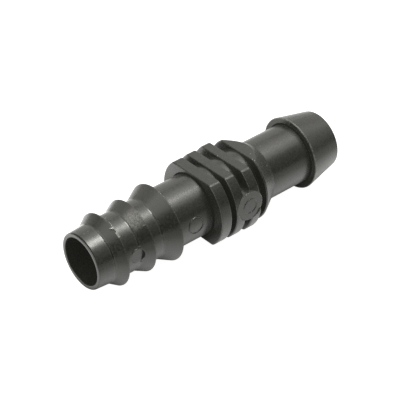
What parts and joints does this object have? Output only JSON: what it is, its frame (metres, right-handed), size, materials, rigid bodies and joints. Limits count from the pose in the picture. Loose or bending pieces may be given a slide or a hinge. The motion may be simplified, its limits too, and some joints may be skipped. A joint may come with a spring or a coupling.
{
  "type": "drip tube connector",
  "caption": "Straight barbed connector for drip tube: barbed spigots on both sides of a grooved collar with opposite flats, and a bore straight through.",
  "frame": {"origin": "on the axis of the bore, in the middle of the collar", "axes": "+X along the bore, from the spigot with small barbs towards the spigot with one large barb; +Z out of the upper flat of the collar"},
  "size_m": [0.0668, 0.0203, 0.0178],
  "materials": {
    "black_plastic": "satin, as moulded"
  },
  "bodies": {
    "root": {"connector_body": "black_plastic"}
  },
  "joints": []
}
